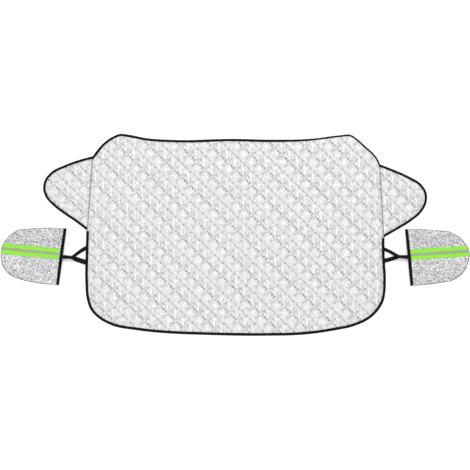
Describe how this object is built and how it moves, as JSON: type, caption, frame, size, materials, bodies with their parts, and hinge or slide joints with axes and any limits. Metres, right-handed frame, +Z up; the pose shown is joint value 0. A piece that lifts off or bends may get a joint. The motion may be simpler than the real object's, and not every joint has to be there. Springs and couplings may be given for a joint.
{
  "type": "windshield frost cover",
  "caption": "Quilted silver windshield cover with side ears, black bound edges, and strapped side pouches with hi-vis tape, lying flat.",
  "frame": {"origin": "middle of the main panel, on the flat underside that the cover lies on", "axes": "+X to the right pouch and +Y to the top edge as seen from above, +Z up out of the quilted face"},
  "size_m": [2.2964, 0.989, 0.0253],
  "materials": {
    "quilted_cloth": "silver foil face, quilted",
    "pouch_cloth": "silver foil face, crinkled",
    "binding_tape": "matt woven tape",
    "elastic": "matt ribbed elastic",
    "hi_vis_tape": "bright yellow-green tape",
    "reflective_strip": "grey reflective coating"
  },
  "bodies": {
    "root": {"main_panel": "quilted_cloth", "left_ear": "quilted_cloth", "right_ear": "quilted_cloth", "top_binding": "binding_tape", "bottom_binding": "binding_tape", "left_ear_binding": "binding_tape", "right_ear_binding": "binding_tape", "left_strap": "elastic", "right_strap": "elastic", "left_pouch_back": "pouch_cloth", "left_pouch_front": "pouch_cloth", "left_pouch_mouth_band": "elastic", "left_hi_vis_tape": "hi_vis_tape", "left_reflective_strip": "reflective_strip", "right_pouch_back": "pouch_cloth", "right_pouch_front": "pouch_cloth", "right_pouch_mouth_band": "elastic", "right_hi_vis_tape": "hi_vis_tape", "right_reflective_strip": "reflective_strip"}
  },
  "joints": []
}
